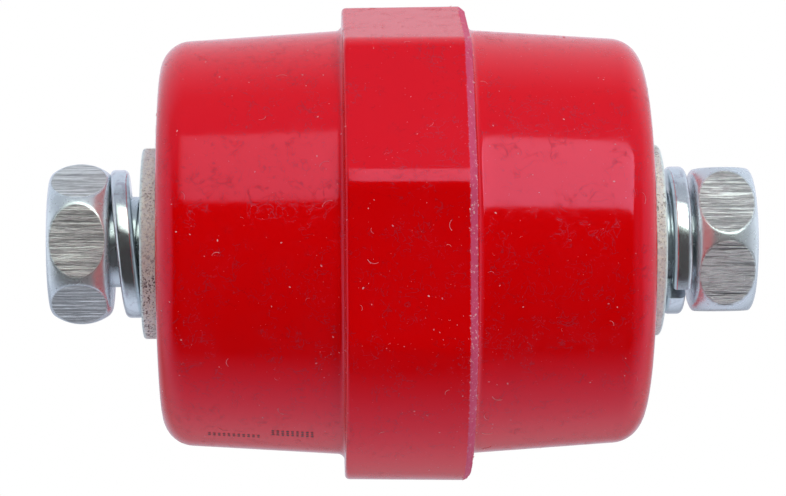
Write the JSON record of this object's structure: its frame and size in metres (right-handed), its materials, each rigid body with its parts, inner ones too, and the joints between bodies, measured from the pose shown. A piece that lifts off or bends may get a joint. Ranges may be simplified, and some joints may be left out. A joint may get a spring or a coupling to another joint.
{
  "type": "standoff insulator",
  "caption": "Drum-shaped moulded standoff insulator with a flatted collar round its middle and a hex screw, spring washer and flat washer in the metal insert of each end.",
  "frame": {"origin": "on the common axis of the two screws, halfway between the two end faces of the body", "axes": "+X along the screws towards the end nearer the collar's parting line, +Z away from the collar flat that the part rests on"},
  "size_m": [0.0588, 0.0394, 0.0376],
  "materials": {
    "red_moulding": "glossy glass-filled polyester moulding",
    "insert_brass": "turned",
    "zinc_washer": "blue-white zinc over a punched blank",
    "spring_steel": "bright zinc over coiled spring wire",
    "zinc_screw": "blue-white zinc over a cold-formed head"
  },
  "bodies": {
    "insulator": {"insulator_body": "red_moulding", "left_insert": "insert_brass", "right_insert": "insert_brass"},
    "left_washer": {"left_flat_washer": "zinc_washer"},
    "left_spring": {"left_spring_washer": "spring_steel"},
    "left_screw": {"left_bolt": "zinc_screw"},
    "right_washer": {"right_flat_washer": "zinc_washer"},
    "right_spring": {"right_spring_washer": "spring_steel"},
    "right_screw": {"right_bolt": "zinc_screw"}
  },
  "joints": [
    {"name": "left_screw_travel", "type": "slide", "parent": "insulator", "child": "left_washer", "axis": [-1, 0, 0], "range_m": [0, 0.012]},
    {"name": "left_screw_turn", "type": "hinge", "parent": "left_washer", "child": "left_screw", "pos_m": [-0.02422, 0, 0], "axis": [-1, 0, 0], "range_deg": [0, 3420]},
    {"name": "left_spring_turn", "type": "hinge", "parent": "left_washer", "child": "left_spring", "pos_m": [-0.02291, 0, 0], "axis": [-1, 0, 0], "continuous": true},
    {"name": "right_screw_travel", "type": "slide", "parent": "insulator", "child": "right_washer", "axis": [1, 0, 0], "range_m": [0, 0.012]},
    {"name": "right_screw_turn", "type": "hinge", "parent": "right_washer", "child": "right_screw", "pos_m": [0.02422, 0, 0], "axis": [1, 0, 0], "range_deg": [0, 3420]},
    {"name": "right_spring_turn", "type": "hinge", "parent": "right_washer", "child": "right_spring", "pos_m": [0.02291, 0, 0], "axis": [1, 0, 0], "continuous": true}
  ],
  "couplings": [
    {"joint": "left_screw_travel", "follows": "left_screw_turn", "m_per_rad": 0.00019894},
    {"joint": "right_screw_travel", "follows": "right_screw_turn", "m_per_rad": 0.00019894}
  ]
}
